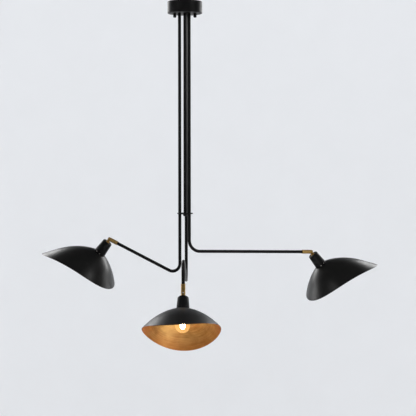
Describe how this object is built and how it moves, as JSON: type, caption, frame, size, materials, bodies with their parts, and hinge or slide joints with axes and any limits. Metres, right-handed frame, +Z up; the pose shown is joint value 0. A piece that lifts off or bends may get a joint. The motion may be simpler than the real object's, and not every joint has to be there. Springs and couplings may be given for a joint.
{
  "type": "pendant lamp",
  "caption": "Ceiling lamp: round canopy, fixed stem and swinging bent tube arms, each with a brass knuckle and a tilting black fan-shaped shade that is gold inside.",
  "frame": {"origin": "on the stem's axis, at the top face of the ceiling bracket (the ceiling plane)", "axes": "+Z up into the ceiling, +X to the right of the picture, +Y away from its camera"},
  "size_m": [1.2309, 0.9605, 1.1369],
  "materials": {
    "black_paint": "satin black powder coat on steel",
    "shade_sheet": "spun sheet, satin black outside and brushed gold inside",
    "brass": "brushed, lightly aged",
    "bracket_steel": "zinc plated",
    "screw_steel": "bright plated",
    "bush_nylon": "moulded nylon",
    "block_plastic": "moulded",
    "flex_sleeve": "smooth sleeve",
    "holder_plastic": "moulded",
    "bulb_glass": "warm frosted",
    "bulb_metal": "bright"
  },
  "bodies": {
    "fixture": {"bracket": "bracket_steel", "bracket_studs": "bracket_steel", "canopy": "black_paint", "cap_nuts": "black_paint", "canopy_bushes": "bush_nylon", "stem": "black_paint", "stem_nut": "bracket_steel", "guide_plate": "black_paint", "guide_bushes": "bush_nylon", "end_nut": "black_paint", "terminal_block": "block_plastic"},
    "left_arm_body": {"left_arm": "black_paint", "left_collar": "bracket_steel", "left_barrel": "brass", "left_pin": "brass", "left_flex": "flex_sleeve"},
    "left_head": {"left_tongue": "brass", "left_cup": "black_paint", "left_cup_screws": "screw_steel", "left_holder": "holder_plastic", "left_ring": "holder_plastic", "left_shade": "shade_sheet", "left_bulb": "bulb_glass", "left_bulb_base": "bulb_metal"},
    "right_arm_body": {"right_arm": "black_paint", "right_collar": "bracket_steel", "right_barrel": "brass", "right_pin": "brass", "right_flex": "flex_sleeve"},
    "right_head": {"right_tongue": "brass", "right_cup": "black_paint", "right_cup_screws": "screw_steel", "right_holder": "holder_plastic", "right_ring": "holder_plastic", "right_shade": "shade_sheet", "right_bulb": "bulb_glass", "right_bulb_base": "bulb_metal"},
    "front_arm_body": {"front_arm": "black_paint", "front_collar": "bracket_steel", "front_barrel": "brass", "front_pin": "brass", "front_flex": "flex_sleeve"},
    "front_head": {"front_tongue": "brass", "front_cup": "black_paint", "front_cup_screws": "screw_steel", "front_holder": "holder_plastic", "front_ring": "holder_plastic", "front_shade": "shade_sheet", "front_bulb": "bulb_glass", "front_bulb_base": "bulb_metal"}
  },
  "joints": [
    {"name": "left_swing", "type": "hinge", "parent": "fixture", "child": "left_arm_body", "pos_m": [-0.01832, -0.00667, -0.04], "axis": [0, 0, 1], "range_deg": [-40, 30]},
    {"name": "right_swing", "type": "hinge", "parent": "fixture", "child": "right_arm_body", "pos_m": [0.01494, -0.01253, -0.04], "axis": [0, 0, 1], "range_deg": [-30, 40]},
    {"name": "front_swing", "type": "hinge", "parent": "fixture", "child": "front_arm_body", "pos_m": [0.00339, 0.0192, -0.04], "axis": [0, 0, 1], "range_deg": [-30, 30]},
    {"name": "left_tilt", "type": "hinge", "parent": "left_arm_body", "child": "left_head", "pos_m": [-0.27079, 0.07052, -0.82907], "axis": [0.2924, 0.9563, 0], "range_deg": [-30, 30]},
    {"name": "right_tilt", "type": "hinge", "parent": "right_arm_body", "child": "right_head", "pos_m": [0.45242, 0.12961, -0.87956], "axis": [0.309, -0.9511, 0], "range_deg": [-40, 30]},
    {"name": "front_tilt", "type": "hinge", "parent": "front_arm_body", "child": "front_head", "pos_m": [0.00339, -0.4018, -0.95869], "axis": [-1, 0, 0], "range_deg": [-40, 30]}
  ]
}
